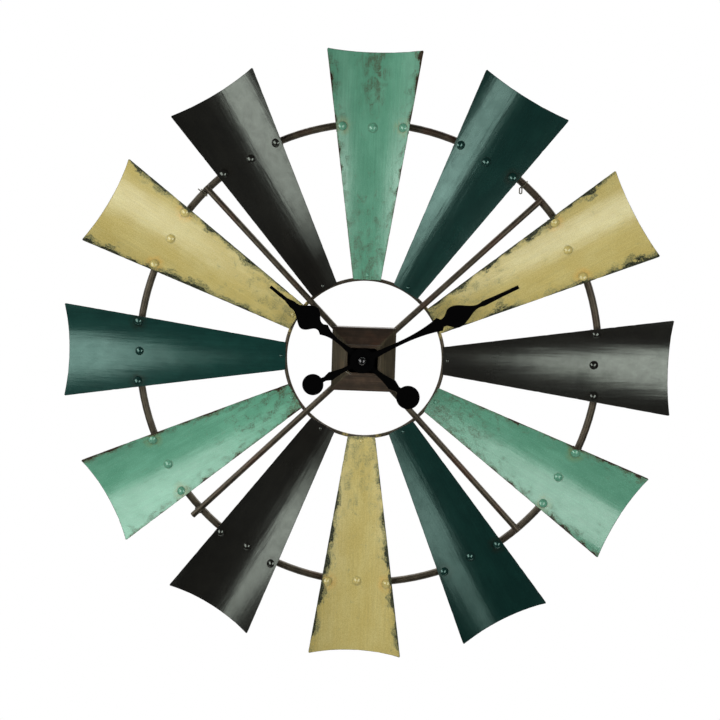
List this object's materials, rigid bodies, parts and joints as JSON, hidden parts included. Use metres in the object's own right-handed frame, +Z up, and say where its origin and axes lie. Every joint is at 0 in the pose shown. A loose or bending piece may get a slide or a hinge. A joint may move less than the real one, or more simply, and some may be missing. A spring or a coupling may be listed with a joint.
{
  "type": "windmill wall clock",
  "caption": "Wall clock shaped as a windmill wheel: curved tapered metal blades on two rings, rod spokes, a square hub box and spade hands.",
  "frame": {"origin": "where the dial's axis meets the wall, in the plane of the hub box's rear rim", "axes": "+Z up to twelve o'clock, +X to three o'clock as seen from the front, and the dial faces -Y; the wall is the plane Y = 0"},
  "size_m": [0.6103, 0.0504, 0.6104],
  "materials": {
    "seafoam_paint": "worn satin paint over dark iron",
    "teal_paint": "satin enamel",
    "cream_paint": "worn satin paint over dark iron",
    "black_paint": "satin enamel",
    "bronze_iron": "dark bronze wash",
    "wire_steel": "dull wire",
    "hand_black": "satin black",
    "case_plastic": "moulded",
    "gear_plastic": "moulded acetal",
    "brass": "turned",
    "washer_rubber": "matte",
    "stator_steel": "stamped",
    "magnet": "sintered",
    "copper_wire": "enamelled winding",
    "board_resin": "solder mask",
    "crystal_can": "drawn can",
    "contact_steel": "nickel-plated spring steel",
    "battery_jacket": "plain printed sleeve"
  },
  "bodies": {
    "frame": {"blade_01": "teal_paint", "blade_02": "cream_paint", "blade_03": "black_paint", "blade_04": "seafoam_paint", "blade_05": "teal_paint", "blade_06": "cream_paint", "blade_07": "black_paint", "blade_08": "seafoam_paint", "blade_09": "teal_paint", "blade_10": "cream_paint", "blade_11": "black_paint", "blade_12": "seafoam_paint", "rivets_seafoam": "seafoam_paint", "rivets_teal": "teal_paint", "rivets_cream": "cream_paint", "rivets_black": "black_paint", "outer_ring": "bronze_iron", "inner_ring": "bronze_iron", "spoke_upper_right": "bronze_iron", "spoke_lower_right": "bronze_iron", "spoke_lower_left": "bronze_iron", "spoke_upper_left": "bronze_iron", "hub_housing": "bronze_iron", "movement_plate": "bronze_iron", "blade_ribs": "bronze_iron", "ring_clips": "bronze_iron", "hanging_wire_left": "wire_steel", "hanging_wire_right": "wire_steel", "movement_case": "case_plastic", "movement_cover": "case_plastic", "coil_bobbin": "gear_plastic", "brass_washer": "brass", "hex_nut": "brass", "rubber_washer": "washer_rubber", "stator": "stator_steel", "coil_winding": "copper_wire", "circuit_board": "board_resin", "quartz_crystal": "crystal_can", "battery_contacts": "contact_steel", "battery": "battery_jacket"},
    "minute": {"minute_arbor": "brass", "minute_hand": "hand_black", "cap_nut": "hand_black"},
    "hour": {"hour_wheel": "gear_plastic", "hour_hand": "hand_black"},
    "motion": {"motion_wheel": "gear_plastic"},
    "knob": {"setting_knob": "gear_plastic"},
    "centre": {"centre_wheel": "gear_plastic"},
    "third": {"third_wheel": "gear_plastic"},
    "seconds": {"seconds_wheel": "gear_plastic"},
    "intermediate": {"intermediate_wheel": "gear_plastic"},
    "rotor": {"rotor_pinion": "gear_plastic", "rotor_magnet": "magnet"}
  },
  "joints": [
    {"name": "minute_hand_spin", "type": "hinge", "parent": "frame", "child": "minute", "pos_m": [0, 0, 0], "axis": [0, 1, 0], "continuous": true},
    {"name": "hour_hand_spin", "type": "hinge", "parent": "frame", "child": "hour", "pos_m": [0, 0, 0], "axis": [0, 1, 0], "continuous": true},
    {"name": "motion_wheel_spin", "type": "hinge", "parent": "frame", "child": "motion", "pos_m": [-0.00866, 0, 0.005], "axis": [0, 1, 0], "continuous": true},
    {"name": "setting_knob_spin", "type": "hinge", "parent": "frame", "child": "knob", "pos_m": [-0.01732, 0, 0.01], "axis": [0, 1, 0], "continuous": true},
    {"name": "seconds_wheel_spin", "type": "hinge", "parent": "frame", "child": "seconds", "pos_m": [0, 0, 0], "axis": [0, 1, 0], "continuous": true},
    {"name": "third_wheel_spin", "type": "hinge", "parent": "frame", "child": "third", "pos_m": [0.00883, 0, 0.0051], "axis": [0, 1, 0], "continuous": true},
    {"name": "centre_wheel_spin", "type": "hinge", "parent": "frame", "child": "centre", "pos_m": [0, 0, 0], "axis": [0, 1, 0], "continuous": true},
    {"name": "intermediate_wheel_spin", "type": "hinge", "parent": "frame", "child": "intermediate", "pos_m": [-0.00187, 0, 0.01064], "axis": [0, 1, 0], "continuous": true},
    {"name": "rotor_spin", "type": "hinge", "parent": "frame", "child": "rotor", "pos_m": [0.00483, 0, 0.01626], "axis": [0, 1, 0], "continuous": true}
  ],
  "couplings": [
    {"joint": "hour_hand_spin", "follows": "minute_hand_spin", "ratio": 0.083333},
    {"joint": "motion_wheel_spin", "follows": "minute_hand_spin", "ratio": -0.33333},
    {"joint": "setting_knob_spin", "follows": "minute_hand_spin", "ratio": 1},
    {"joint": "third_wheel_spin", "follows": "seconds_wheel_spin", "ratio": -0.125},
    {"joint": "centre_wheel_spin", "follows": "seconds_wheel_spin", "ratio": 0.016667},
    {"joint": "intermediate_wheel_spin", "follows": "seconds_wheel_spin", "ratio": -5},
    {"joint": "rotor_spin", "follows": "seconds_wheel_spin", "ratio": 30}
  ]
}
